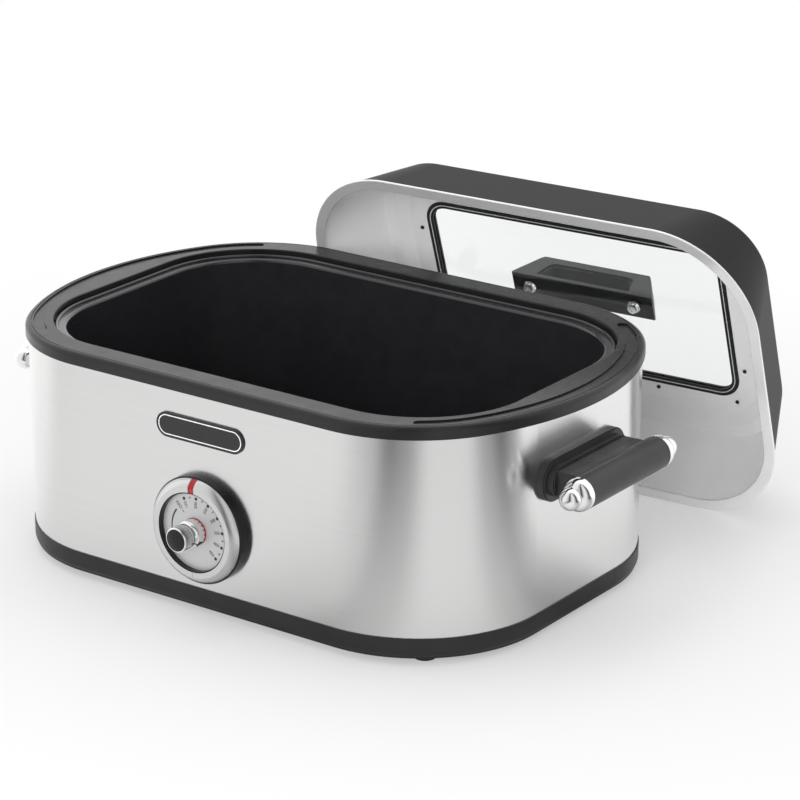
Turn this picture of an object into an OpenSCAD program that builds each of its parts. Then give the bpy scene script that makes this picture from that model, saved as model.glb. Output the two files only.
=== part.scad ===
// Electric roaster oven: steel body with a drop-in pan, and its domed lid stood behind it.
// Millimetres, +Z up, front towards -Y, origin on the counter under the middle of the body.

/* [Body] */
// Length of the black base band, end to end
body_w = 500; // [480:1:520]
// Depth of the base band, front to back
body_d = 355.6; // [345:0.1:370]
// Corner radius of the base band in plan
body_r = 116.8; // [112:0.1:124]
// Height of the base band
band_h = 17.4; // [14:0.1:22]
// Wall of the base band
band_t = 2.8; // [2:0.1:4]
// Floor thickness of the base tray
floor_t = 2.5; // [2:0.1:3.5]
// Radius of the base tray's lower edge
band_round = 5.2; // [3:0.1:7]
// How far the band stands proud of the steel
band_proud = 0.85; // [0.5:0.05:1.5]
// Height of the steel wrap between band and rim plate
wrap_h = 176.4; // [165:0.1:190]
// Sheet thickness of the steel wrap
wrap_t = 0.8; // [0.6:0.1:1.2]
// Height of the ribs that hold the wrap's edges
rib_h = 8; // [5:0.5:11]
// Length of one cooling slot in the tray floor
slot_l = 60; // [40:1:80]

/* [Feet] */
// Height of the rubber feet
foot_h = 5.5; // [4:0.1:8]
// Radius of a foot
foot_r = 9; // [7:0.1:11]
// Foot centre from the middle, along the length
foot_x = 195; // [170:1:200]
// Foot centre from the middle, along the depth
foot_y = 138; // [110:1:140]
// Radius of a foot's stem
foot_stem_r = 3.5; // [2.5:0.1:4.5]

/* [Rim] */
// How far the rim reaches past the band at the middle of each end
rim_over_w = 16.8; // [12:0.1:20]
// How far the rim reaches past the band at front and back
rim_over_d = 1.9; // [1.2:0.1:4]
// Corner radius of the rim in plan
rim_corner_r = 119.7; // [115:0.1:124]
// Height of the rim's outer skirt, top face included
skirt_h = 10.7; // [8:0.1:14]
// Thickness of the skirt
skirt_t = 1.6; // [1.2:0.1:1.8]
// Thickness of the rim's top plate
rim_t = 2.6; // [2:0.1:3.5]
// Radius of the rim's outer top edge
rim_round = 4; // [2.5:0.1:4.5]
// Depth of the crescent channel at each end
chan_depth = 1.4; // [0.8:0.1:1.8]
// Width of the channel
chan_w = 9.5; // [7:0.1:11]
// Channel's outer edge from the rim's edge
chan_in = 6.8; // [6:0.1:8]
// Angle on the corner arc where the channel stops
chan_stop = 54; // [46:1:62]

/* [Mouth] */
// Length of the mouth in the rim
mouth_w = 458.8; // [450:0.1:464]
// Depth of the mouth in the rim, front to back
mouth_d = 307.2; // [300:0.1:310]
// Corner radius of the mouth
mouth_r = 95; // [90:0.1:100]
// Width of the ledge inside the mouth
ledge_w = 5; // [4:0.1:6]
// Top of the ledge below the rim's top
ledge_drop = 8.2; // [7:0.1:10]

/* [Heating well] */
// Sheet thickness of the well
well_t = 0.8; // [0.6:0.1:1.2]
// Underside of the well above the tray floor
well_lift = 26; // [20:1:32]
// Radius where the well's wall meets its floor
well_round = 10; // [7:0.5:14]
// Radius of the tubular heating element
element_r = 3.2; // [2.5:0.1:4]
// Height of the element above the well's underside
element_up = 18; // [14:1:22]
// Gap between the element's two ends at the front
element_gap = 60; // [48:1:90]

/* [Roasting pan] */
// Sheet thickness of the pan
pan_t = 1; // [0.8:0.1:1.4]
// Depth of the pan from its flange to its floor
pan_depth = 150; // [135:1:154]
// Inner edge of the pan's lip from the mouth's edge
pan_in = 11.4; // [10:0.1:13]
// Draft of the pan's wall, in degrees
pan_draft = 4; // [2:0.1:6]
// Radius of the pan's floor edge
pan_round = 12; // [8:0.5:16]
// Radius of the rolled bead round the flange
bead_r = 1.6; // [1.2:0.1:1.9]

/* [Temperature dial] */
// Dial centre above the counter
dial_z = 77.2; // [72:0.1:90]
// Radius of the black dial housing
dial_r = 46.2; // [42:0.1:48]
// How far the housing stands off the steel
dial_deep = 8.5; // [7:0.1:10]
// Depth of the silver ring in front of the housing
ring_deep = 6; // [5:0.1:7]
// Radius of the silver ring where its bevel starts
ring_r = 45; // [41.5:0.1:46]
// Radius of the ring's front face
ring_face_r = 39.2; // [38:0.1:41]
// Radius of the opening in the ring
ring_in_r = 34.5; // [33:0.1:36]
// Width of the red indicator lens
lens_w = 6; // [4:0.1:8]
// Wall of the black trim inside the ring
trim_t = 1; // [0.8:0.1:1.4]

/* [Knob] */
// Radius of the knob's foot
knob_r = 11.2; // [10:0.1:13]
// Radius of the knob's waist
knob_waist_r = 8.8; // [7.4:0.1:9.2]
// Radius of the knob's front barrel
knob_front_r = 10.6; // [10:0.1:11.4]
// Length of the knob
knob_l = 24; // [21:0.1:27]
// Number of flutes round the foot
knob_flutes = 18; // [10:1:22]
// Radius of the control shaft
shaft_r = 3; // [2.5:0.1:3.5]

/* [Badge] */
// Length of the blank badge
badge_w = 90; // [70:1:110]
// Height of the badge
badge_h = 21.4; // [16:0.1:26]
// Thickness of the badge
badge_t = 1.6; // [1:0.1:2.5]
// Badge centre above the counter
badge_z = 160; // [150:0.5:166]

/* [Side handles] */
// Height of the grip's axis above the counter
grip_z = 134.9; // [120:0.1:140]
// Distance from the steel to the grip's axis
grip_out = 37.8; // [34:0.1:44]
// Radius of the grip
grip_r = 13.9; // [12:0.1:15]
// Length of the black grip
grip_l = 113.2; // [108:0.1:130]
// Length of the flange on the steel
flange_l = 122; // [112:1:134]
// Height of the flange
flange_h = 36.5; // [32:0.5:44]
// Thickness of the flange
flange_t = 6; // [4:0.1:7]
// How far the second step stands off the flange
step_t = 6; // [4:0.1:7]
// Width of the stem that carries the grip
stem_w = 100; // [90:1:104]
// Thickness of the stem
stem_t = 22; // [18:0.1:24]
// Radius of the ball on each chrome end cap
ball_r = 9.3; // [8:0.1:10.5]

/* [Lid] */
// Running gap between the lid's rim and the pan's bead
lid_gap = 0.2; // [0.1:0.1:2]
// Height of the lid's dome
dome_h = 87.5; // [80:0.1:96]
// How far the wall leans in over its height
dome_lean = 34; // [28:0.1:38]
// Radius of the dome's shoulder
dome_round = 9; // [6:0.1:12]
// Sheet thickness of the lid's skins
skin_t = 0.8; // [0.6:0.1:1]
// Width of the rim band round the lid
lid_rim_w = 10.4; // [9:0.1:12]
// Thickness of the rim band
lid_rim_t = 2.2; // [1.8:0.1:3]
// Depth of the dish round the window
dish_h = 3.7; // [3:0.1:6]

/* [Lid window] */
// Length of the glass that shows
window_w = 292; // [270:1:300]
// Height of the glass that shows
window_d = 145; // [136:1:154]
// Corner radius of the glass that shows
window_r = 16; // [12:0.5:22]
// Thickness of the glass
glass_t = 4; // [3:0.1:5]
// Width of the gasket that shows round the glass
gasket_w = 7; // [6:0.1:8]

/* [Lid handle] */
// Length of the lid handle at its foot
pull_l = 145; // [130:1:156]
// Length of the lid handle at its top
pull_top_l = 120; // [110:1:128]
// Width of the lid handle
pull_w = 24; // [20:0.5:28]
// Height of the lid handle
pull_h = 34; // [30:0.5:40]
// Length of the finger opening
pull_gap_l = 86; // [76:1:90]
// Height of the finger opening
pull_gap_h = 17; // [14:0.5:18]
// Distance between the lid handle's two screws
pull_screws = 108; // [104:1:118]

/* [Lid at rest] */
// Lean of the standing lid, in degrees
lean = 18.7; // [17:0.1:19]
// Turn of the standing lid, in degrees
yaw = 2.9; // [2:0.1:3.1]
// Sideways place of the standing lid
lid_x = 70.4; // [60:0.1:76]

/* [Hidden] */
$fn = 72;

fit = 0.1;                  // gap of a piece pressed or dropped into its seat
run = 0.05;                 // radial gap of a shaft in its bore
pan_gap = 1;                // drop-in gap between the pan's bead and the mouth
seam = 0.3;                 // gap between curved skins

// ---- levels -------------------------------------------------------------------------
z_tray = foot_h;                        // underside of the base tray
z_floor = foot_h + floor_t;             // tray floor
z_band = foot_h + band_h;               // top of the band, foot of the wrap
z_plate = z_band + wrap_h;              // underside of the rim's plate, top of the wrap
z_top = z_plate + rim_t;                // top of the rim
z_ledge = z_top - ledge_drop;           // top of the ledge in the mouth
z_pan = z_ledge + well_t;               // underside of the pan's flange
z_well = z_floor + well_lift;           // underside of the well

// ---- plan of the body ----------------------------------------------------------------
band_hw = body_w / 2;
band_hd = body_d / 2;
wrap_hw = band_hw - band_proud;
wrap_hd = band_hd - band_proud;
wrap_r = body_r - band_proud;           // outer corner radius of the wrap
wrap_in = wrap_hd - wrap_t;             // inner face of the wrap at front and back
rib_t = 1.5;

// ---- plan of the rim: straight front and back, corner arcs, and a long arc at each end --
// The arcs meet on the 8-15-17 triangle, so each joint is a true tangent.
rim_hw = band_hw + rim_over_w;
rim_cy = round(125 * (band_hd + rim_over_d - rim_corner_r)) / 125;   // corner centre, depth
rim_end_r = rim_corner_r + rim_cy * 17 / 8;     // radius of the end arc
rim_ex = rim_hw - rim_end_r;                    // end arc's centre
rim_cx = rim_ex + rim_cy * 15 / 8;              // corner centre, length
plate_w = rim_hw - mouth_w / 2;                 // the plate runs in past the mouth's edge

// ---- mouth, well and pan share the mouth's corner centres -------------------------------
mouth_hw = mouth_w / 2;
mouth_hd = mouth_d / 2;
well_out = mouth_r - ledge_w - 0.2;             // outer face of the well's wall
well_in = well_out - well_t;
m_cx = mouth_hw - mouth_r;
m_cy = mouth_hd - mouth_r;
shield_u = well_out + 14;                       // inner face of the heat shield
shield_t = 0.5;
tie_r = 2;
boss_r = 4.2;
boss_h = 22;
tie_u = shield_u + shield_t + boss_r + 0.2;     // tie screws stand outside the shield
tie_x = m_cx + tie_u * sqrt(0.5);
tie_y = m_cy + tie_u * sqrt(0.5);

// ---- dial and knob, along -Y from the steel ---------------------------------------------
dial_y = -wrap_hd;                              // face of the steel
y_ring = dial_y - dial_deep;                    // back of the silver ring
plate_t = 1;
y_plate = y_ring - plate_t;                     // face of the dial plate
y_face = y_ring - ring_deep;                    // front of the silver ring
knob_gap = 0.3;
foot_ring_t = 0.6;
y_knob = y_plate - knob_gap - foot_ring_t;      // back of the knob
bush_r = shaft_r + 1.8;
pointer_a = -43;                                // where the knob points at rest

// ---- lid --------------------------------------------------------------------------------
lid_in = pan_gap + 2 * bead_r + lid_gap;         // the lid's rim drops inside the pan's bead
lid_hw = mouth_hw - lid_in;
lid_hd = mouth_hd - lid_in;
lid_r = mouth_r - lid_in;
wall_top = dome_h - dome_round;                 // where the shoulder starts
win_hw = window_w / 2;
win_hd = window_d / 2;
z_glass = dome_h - dish_h - 1.6 - glass_t - 0.2;  // inner face of the glass
z_liner = z_glass - 1.2;                        // inner face of the liner's flat
gasket_t = 1.5;
glass_lap = 4;                                  // how far the glass reaches into the gasket
z_outer = z_glass + glass_t;                    // outer face of the glass
washer_r = 6.4;
lid_tilt = 90 - lean;
// The lid stands on its rim's edge and leans on the back of the body's rim.
edge_r = lid_rim_t / 2;
lean_gap = 0.2;                                 // clear of the body's rim
rest_z = (lid_hd - edge_r) * cos(lean) - edge_r * sin(lean) + edge_r;
rest_h = cos(lean) * (rim_cx * sin(yaw) + rim_cy * cos(yaw) + rim_corner_r - rim_round)
       + sin(lean) * (z_top - rim_round) + rim_round + lean_gap;
rest_y = (rest_h + sin(yaw) * cos(lean) * lid_x - sin(lean) * rest_z)
       / (cos(yaw) * cos(lean));

black = [0.09, 0.09, 0.1];
charcoal = [0.2, 0.2, 0.21];
rim_grey = [0.3, 0.3, 0.31];
steel = [0.78, 0.78, 0.8];
silver = [0.7, 0.7, 0.72];
chrome = [0.85, 0.86, 0.88];
red = [0.75, 0.05, 0.06];

// ---- swept rings -------------------------------------------------------------------------
// Sweep a section round a rounded rectangle. The section's x is the distance out from the
// corner centres, its y is the height.
module round_ring(hw, hd, r) {
    cx = hw - r;
    cy = hd - r;
    for (s = [0, 180]) rotate([0, 0, s]) {
        translate([-cx, cy, 0]) rotate([90, 0, 90]) linear_extrude(2 * cx) children();
        translate([cx, cy, 0]) rotate([90, 0, 0]) linear_extrude(2 * cy) children();
        translate([cx, cy, 0]) rotate_extrude(angle = 90) children();
        translate([-cx, cy, 0]) rotate([0, 0, 90]) rotate_extrude(angle = 90) children();
    }
}

// A rounded rectangular slab from z0 to z1
module round_slab(hw, hd, r, z0, z1) {
    round_ring(hw, hd, r) translate([0, z0]) square([r, z1 - z0]);
    translate([-(hw - r), -(hd - r), z0]) cube([2 * (hw - r), 2 * (hd - r), z1 - z0]);
}

// What lies past the line where an end arc meets a corner arc, on either side of it. The
// line runs through both centres, so one clean face joins the two.
far = 300;                              // past every edge of the rim, from a corner's centre
module corner_part() {
    linear_extrude(far + 100) polygon([[rim_cx, rim_cy], [rim_cx + far, rim_cy + far * 8 / 15],
                                       [rim_cx + far, rim_cy + far], [rim_cx, rim_cy + far]]);
}
module end_part() {
    linear_extrude(far + 100) polygon([[rim_ex, 0], [rim_ex + far * 1.5, far * 0.8],
                                       [rim_ex + far * 1.5, -far * 0.8]]);
}

// Sweep a section round the rim's outline. $R is the arc's radius for each stretch.
module rim_ring() {
    for (s = [0, 180]) rotate([0, 0, s]) {
        let ($R = rim_corner_r) {
            translate([-rim_cx, rim_cy, 0]) rotate([90, 0, 90])
                linear_extrude(2 * rim_cx) children();
            for (m = [0, 1]) mirror([m, 0, 0]) intersection() {
                translate([rim_cx, rim_cy, 0]) rotate_extrude(angle = 90) children();
                corner_part();
            }
        }
        let ($R = rim_end_r) intersection() {
            translate([rim_ex, 0, 0]) rotate_extrude(angle = 90, start = -45) children();
            end_part();
        }
    }
}

// A flat bar with round ends, centred, standing on z = 0
module stadium(l, w, h) {
    for (s = [0, 180]) rotate([0, 0, s]) translate([l / 2 - w / 2, 0, 0])
        rotate_extrude(angle = 180, start = -90) square([w / 2, h]);
    translate([-(l - w) / 2, -w / 2, 0]) cube([l - w, w, h]);
}

module at_feet() {
    for (x = [-foot_x, foot_x], y = [-foot_y, foot_y]) translate([x, y, 0]) children();
}

module at_ties() {
    for (x = [-tie_x, tie_x], y = [-tie_y, tie_y]) translate([x, y, 0]) children();
}

// A disc whose axis runs along -Y, its back at y = 0
module disc(r, h) { rotate([90, 0, 0]) cylinder(r = r, h = h); }

module at_dial(y) { translate([0, y, dial_z]) children(); }

// ---- body ---------------------------------------------------------------------------------
module steel_wrap() {
    color(steel) difference() {
        round_ring(wrap_hw, wrap_hd, wrap_r)
            translate([wrap_r - wrap_t, z_band]) square([wrap_t, wrap_h]);
        at_dial(dial_y + 5) disc(bush_r + 0.2, 10);
        for (x = badge_pins()) translate([x, dial_y + 5, badge_z]) disc(badge_pin_r + fit, 10);
        for (s = [-1, 1], y = handle_screw_y())
            translate([s * wrap_hw, y, grip_z]) rotate([0, 90, 0])
                cylinder(r = screw_r + 0.25, h = 12, center = true);
        translate([gland_x, wrap_hd + 5, gland_z]) disc(gland_r + fit, 10);
    }
}

module base_tray() {
    rib_u = wrap_r - wrap_t - fit;
    color(black) difference() {
        union() {
            round_slab(band_hw - body_r + rib_u - rib_t, band_hd - body_r + rib_u - rib_t,
                       rib_u - rib_t, z_tray, z_floor);
            round_ring(band_hw, band_hd, body_r) tray_edge();
            at_feet() translate([0, 0, z_tray]) cylinder(r = foot_r, h = floor_t + 1.5);
            at_ties() translate([0, 0, z_tray]) cylinder(r = boss_r, h = floor_t + 3);
        }
        at_feet() translate([0, 0, z_tray - 1])
            cylinder(r = foot_stem_r + fit, h = floor_t + 4);
        at_ties() {
            translate([0, 0, z_tray - 1]) cylinder(r = tie_r + 0.2, h = floor_t + 6);
            translate([0, 0, z_tray - 1]) cylinder(r = boss_r - 0.5 + 0.2, h = 1 + tie_head);
        }
        for (x = [-slot_x, slot_x], k = [-3 : 3]) translate([x, k * slot_step, z_tray - 1])
            stadium(slot_l, slot_w, floor_t + 2);
    }
}
slot_x = 110;                           // middle of each row of slots
slot_step = 13;
slot_w = 5;

// Section of the band: floor edge, round lower corner, wall, and the rib inside the wrap
module tray_edge() {
    rib_u = wrap_r - wrap_t - fit;
    translate([rib_u - rib_t - 0.5, z_tray]) square([body_r - band_round - rib_u + rib_t + 0.5, floor_t]);
    intersection() {
        translate([body_r - band_round, z_tray + band_round]) circle(r = band_round);
        translate([body_r - band_round, z_tray]) square([band_round, band_round]);
    }
    translate([body_r - band_round, z_tray + band_round])
        square([band_round, band_h - band_round]);
    translate([rib_u - rib_t, z_tray]) square([rib_t, band_h + rib_h]);
    translate([rib_u - 0.2, z_tray + band_round])
        square([body_r - band_round - rib_u + 0.4, band_h - band_round]);
}

module foot(x, y) {
    color(black) translate([x, y, 0]) {
        difference() {
            cylinder(r = foot_r, h = foot_h);
            translate([0, 0, -1]) cylinder(r = foot_r - 3, h = 2);
        }
        translate([0, 0, foot_h - 0.5]) cylinder(r = foot_stem_r, h = floor_t + 2 + 0.5);
        translate([0, 0, foot_h + floor_t + 1.5]) cylinder(r1 = foot_stem_r + 0.8, r2 = foot_stem_r - 0.8, h = 2.5);
    }
}

module tie_screws() {
    color(silver) at_ties() {
        translate([0, 0, z_tray + 0.4]) cylinder(r = boss_r - 0.5, h = tie_head - 0.4);
        translate([0, 0, z_tray + tie_head - 0.2]) cylinder(r = tie_r, h = z_plate - boss_h + 14 - z_tray - tie_head);
    }
}
tie_head = 2;

// Section of the rim's edge: plate, round shoulder, skirt, and the fine crease behind it
module rim_edge() {
    z_skirt = z_top - skirt_h;
    translate([$R, 0]) difference() {
        union() {
            translate([-skirt_t, z_skirt]) square([skirt_t, skirt_h - rim_round]);
            intersection() {
                translate([-rim_round, z_top - rim_round]) circle(r = rim_round);
                translate([-rim_round, z_top - rim_round]) square(rim_round);
            }
            translate([-plate_w, z_plate]) square([plate_w - rim_round, rim_t]);
        }
        translate([-rim_round - 1, z_skirt - 1]) square([rim_round + 1 - skirt_t, skirt_h - rim_t + 1]);
        translate([-5.4, z_top - 0.5]) square([0.8, 1]);
    }
}

// Section of the mouth's edge: round inner lip, wall and ledge
module mouth_edge() {
    lip = 1.2;
    difference() {
        union() {
            translate([mouth_r, z_ledge - rim_t]) square([rim_t, z_top - z_ledge + rim_t]);
            translate([mouth_r - ledge_w, z_ledge - rim_t]) square([ledge_w + 1, rim_t]);
        }
        difference() {
            translate([mouth_r - 1, z_top - lip]) square([lip + 1, lip + 1]);
            translate([mouth_r + lip, z_top - lip]) circle(r = lip);
        }
    }
}

// Crescent channel pressed into the rim at one end
module rim_channel() {
    mid = chan_in + chan_w / 2;
    z0 = z_top - chan_depth;
    intersection() {
        translate([rim_ex, 0, 0]) rotate_extrude(angle = 90, start = -45)
            translate([rim_end_r - chan_in - chan_w, z0]) square([chan_w, chan_depth + 1]);
        end_part();
    }
    for (m = [0, 1]) mirror([0, m, 0]) {
        intersection() {
            translate([rim_cx, rim_cy, 0]) rotate_extrude(angle = chan_stop)
                translate([rim_corner_r - chan_in - chan_w, z0]) square([chan_w, chan_depth + 1]);
            corner_part();
        }
        translate([rim_cx, rim_cy, z0]) rotate([0, 0, chan_stop])
            translate([rim_corner_r - mid, 0, 0])
                cylinder(r = chan_w / 2 + 0.02, h = chan_depth + 1);
    }
}

module rim_collar() {
    rib_u = wrap_r - wrap_t - fit;
    color(rim_grey) difference() {
        union() {
            difference() {
                rim_ring() rim_edge();
                round_slab(mouth_hw + 2, mouth_hd + 2, mouth_r + 2, z_plate - 1, z_top + 1);
            }
            round_ring(mouth_hw, mouth_hd, mouth_r) mouth_edge();
            round_ring(wrap_hw, wrap_hd, wrap_r)
                translate([rib_u - rib_t, z_plate - rib_h]) square([rib_t, rib_h + 0.5]);
            at_ties() translate([0, 0, z_plate - boss_h]) cylinder(r = boss_r, h = boss_h + 0.5);
        }
        for (s = [0, 180]) rotate([0, 0, s]) rim_channel();
        at_ties() translate([0, 0, z_plate - boss_h - 1]) cylinder(r = tie_r + run, h = 16);
    }
}

// ---- heating parts ----------------------------------------------------------------------------
module quarter(cu, cz, r, t) {
    intersection() {
        difference() {
            translate([cu, cz]) circle(r = r);
            translate([cu, cz]) circle(r = r - t);
        }
        translate([cu, cz - r]) square([r, r]);
    }
}

module heating_well() {
    color(silver) {
        round_ring(mouth_hw, mouth_hd, mouth_r) {
            translate([well_in, z_ledge]) square([mouth_r - 0.3 - well_in, well_t]);
            translate([well_in, z_well + well_round]) square([well_t, z_ledge - z_well - well_round + 0.1]);
            quarter(well_out - well_round, z_well + well_round, well_round, well_t);
        }
        round_slab(m_cx + well_out - well_round, m_cy + well_out - well_round,
                   well_out - well_round, z_well, z_well + well_t);
    }
}

element_u = well_out + seam + element_r;
element_z = z_well + element_up;

module heating_element() {
    color(charcoal) difference() {
        union() {
            round_ring(mouth_hw, mouth_hd, mouth_r)
                translate([element_u, element_z]) circle(r = element_r);
            translate([0, -(m_cy + element_u), element_z]) rotate([0, 90, 0])
                cylinder(r = element_r / 2, h = element_gap + 20, center = true);
        }
        translate([-element_gap / 2, -(m_cy + element_u) - 2 * element_r, element_z - 2 * element_r])
            difference() {
                cube([element_gap, 4 * element_r, 4 * element_r]);
                translate([-1, 2 * element_r, 2 * element_r]) rotate([0, 90, 0])
                    cylinder(r = element_r / 2, h = 15);
                translate([element_gap - 14, 2 * element_r, 2 * element_r]) rotate([0, 90, 0])
                    cylinder(r = element_r / 2, h = 15);
            }
    }
}

// One clip: a strap that holds the tube against the well
module clip() {
    h = 4 * element_r;
    d = 2 * element_r + seam + 1.2;
    difference() {
        translate([-5, 0, -h / 2]) cube([10, d, h]);
        translate([-6, seam + element_r, 0]) rotate([0, 90, 0]) cylinder(r = element_r + run, h = 12);
        translate([-6, -1, -element_r * 0.9]) cube([12, seam + element_r + 1, element_r * 1.8]);
    }
}

module element_clips() {
    color(silver) for (s = [0, 180]) rotate([0, 0, s]) {
        for (x = [-1, 1]) translate([x * m_cx * 0.7, m_cy + well_out, element_z]) clip();
        translate([m_cx + well_out, 0, element_z]) rotate([0, 0, -90]) clip();
    }
}

module heat_shield() {
    color(silver) difference() {
        round_ring(mouth_hw, mouth_hd, mouth_r)
            translate([shield_u, z_floor]) square([shield_t, wrap_h * 0.8]);
        translate([-thermo_w / 2 - 4, -wrap_hd, dial_z - thermo_h / 2 - 4])
            cube([thermo_w + 8, 60, thermo_h + 8]);
        at_feet() translate([0, 0, z_floor - 1]) cylinder(r = foot_r + 0.5, h = 7);
    }
}

thermo_w = 34;
thermo_h = 28;
bracket_t = 1.2;
thermo_front = -(wrap_in - bracket_t - 0.1);
thermo_back = -(m_cy + element_u + element_r + 1.5);

module thermostat() {
    color([0.85, 0.84, 0.8]) difference() {
        union() {
            translate([-thermo_w / 2, thermo_front, dial_z - thermo_h / 2])
                cube([thermo_w, thermo_back - thermo_front, thermo_h]);
            at_dial(thermo_front + 0.5) disc(bush_r, thermo_front + 0.5 - dial_y + 6.2);
            at_dial(-(m_cy + well_out)) disc(4, -(m_cy + well_out) - thermo_back + 0.5);
        }
        at_dial(thermo_back - 2) disc(shaft_r + run, 60);
    }
}

module thermostat_bracket() {
    color(silver) difference() {
        translate([-thermo_w / 2 - 6, -wrap_in, dial_z - thermo_h / 2 - 3])
            cube([thermo_w + 12, bracket_t, thermo_h + 6]);
        at_dial(-wrap_in + 5) disc(bush_r + 0.2, 10);
    }
}

module thermostat_nut() {
    color(silver) at_dial(dial_y) difference() {
        rotate([90, 0, 0]) cylinder(r = bush_r + 3.4, h = 3, $fn = 6);
        translate([0, 1, 0]) disc(bush_r + run, 5);
    }
}

// ---- dial --------------------------------------------------------------------------------------
module turned(y) { translate([0, y, dial_z]) rotate([90, 0, 0]) rotate_extrude() children(); }

module dial_housing() {
    color(black) turned(dial_y) {
        difference() {
            translate([dial_r - 6, 0]) square([6, dial_deep]);
            translate([dial_r, dial_deep]) rotate(45) square(1.6, center = true);
        }
        translate([bush_r + 4.5, dial_deep - 2]) square([dial_r - 5.5 - bush_r - 4.5, 2]);
    }
}

module dial_plate() {
    color(silver) turned(y_ring)
        translate([shaft_r + 1.2, 0]) square([ring_in_r + 1.6 - shaft_r - 1.2, plate_t]);
}

module dial_trim() {
    color(black) turned(y_plate)
        translate([ring_in_r - fit - trim_t, 0]) square([trim_t, ring_deep - plate_t - 0.8]);
}

// Section of the silver ring: flat face, rolled bevel, and the pocket for the dial plate
module ring_section() {
    difference() {
        union() {
            translate([ring_in_r, 0]) square([ring_face_r - ring_in_r, ring_deep]);
            intersection() {
                translate([ring_face_r - 6, -ring_bow]) circle(r = ring_roll, $fn = 180);
                translate([ring_face_r - 0.01, 0]) square([ring_r - ring_face_r + 0.01, ring_deep]);
            }
        }
        translate([ring_in_r - 1, -1]) square([1 + 1.6 + fit, 1 + plate_t + 0.02]);
    }
}
// The bevel is an arc through the ring's face edge and its back edge.
ring_dx = ring_r - (ring_face_r - 6);
ring_bow = (ring_dx * ring_dx - 36 - ring_deep * ring_deep) / (2 * ring_deep);
ring_roll = sqrt(ring_dx * ring_dx + ring_bow * ring_bow);

module dial_ring() {
    color(silver) difference() {
        turned(y_ring) ring_section();
        translate([-lens_w / 2, y_face - 1, dial_z]) cube([lens_w, ring_deep + 2, ring_r + 2]);
        for (a = [0, 90, 180]) translate([0, y_face, dial_z]) rotate([0, a, 0])
            translate([ring_in_r - 1, -1, -0.25]) cube([ring_r, 1.4, 0.5]);
    }
}

module indicator_lens() {
    color(red) intersection() {
        turned(y_ring) ring_section();
        translate([-lens_w / 2 + 0.05, y_face - 1, dial_z])
            cube([lens_w - 0.1, ring_deep + 2, ring_r + 2]);
    }
}

// ---- knob --------------------------------------------------------------------------------------
// Section of the knob: fluted foot, waist drawn in by an arc, and front barrel
module knob_section() {
    foot_l = knob_l * 0.34;
    barrel_l = knob_l * 0.32;
    waist_l = knob_l - foot_l - barrel_l;
    deep = min(knob_r, knob_front_r) - knob_waist_r;
    wr = (waist_l * waist_l / 4 + deep * deep) / (2 * deep);
    difference() {
        union() {
            square([knob_r, foot_l]);
            translate([0, foot_l - 0.1]) square([min(knob_r, knob_front_r), waist_l + 0.2]);
            translate([0, knob_l - barrel_l]) square([knob_front_r, barrel_l]);
        }
        translate([knob_waist_r + wr, foot_l + waist_l / 2]) circle(r = wr);
        translate([0, knob_l - 1.2]) square([knob_cap_r + fit, 2]);
        translate([knob_front_r, knob_l]) rotate(45) square(1, center = true);
        translate([-1, -1]) square([1 + shaft_r + 0.02, knob_l - 5]);
    }
}
knob_cap_r = knob_front_r - 1.3;

module knob() {
    color(chrome) difference() {
        turned(y_knob) knob_section();
        for (k = [0 : knob_flutes - 1])
            at_dial(y_knob + 1) rotate([0, k * 360 / knob_flutes, 0])
                translate([knob_r + 0.4, 0, 0]) disc(0.95, knob_l * 0.34 + 0.5);
    }
}

module knob_cap() {
    h = 1.6;
    rr = (knob_cap_r * knob_cap_r + h * h) / (2 * h);
    color(black) turned(y_knob - knob_l + 1.2) intersection() {
        union() {
            square([knob_cap_r, 1.2]);
            translate([0, 1.2 + h - rr]) circle(r = rr, $fn = 180);
        }
        square([knob_cap_r, 1.2 + h]);
    }
}

module knob_foot_ring() {
    color(red) turned(y_knob + foot_ring_t)
        translate([shaft_r + 0.02, 0]) square([knob_r + 0.3 - shaft_r, foot_ring_t]);
}

module knob_shaft() {
    color(silver) at_dial(thermo_back - 4) disc(shaft_r, thermo_back - 4 - y_knob + knob_l - 7);
}

// ---- badge ---------------------------------------------------------------------------------------
badge_pin_r = 1.4;
function badge_pins() = [-badge_w * 0.35, badge_w * 0.35];

module badge() {
    color(charcoal) translate([0, dial_y, badge_z]) {
        rotate([90, 0, 0]) difference() {
            stadium(badge_w, badge_h, badge_t);
            translate([0, 0, badge_t - 0.4]) difference() {
                stadium(badge_w - 4, badge_h - 4, 1);
                translate([0, 0, -1]) stadium(badge_w - 6, badge_h - 6, 3);
            }
        }
        for (x = badge_pins()) translate([x, wrap_t + 1.6, 0]) disc(badge_pin_r, wrap_t + 2.6);
    }
}

// ---- side handles ------------------------------------------------------------------------------
screw_r = 1.95;
function handle_screw_y() = [-stem_w * 0.35, stem_w * 0.35];
grip_x = wrap_hw + grip_out;
bore_deep = flange_t + step_t + 4;

// A plate with round ends standing off the steel, x0 to x0 + t
module end_plate(x0, l, h, t) {
    translate([x0, 0, grip_z]) rotate([90, 0, 90]) stadium(l, h, t);
}

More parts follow.
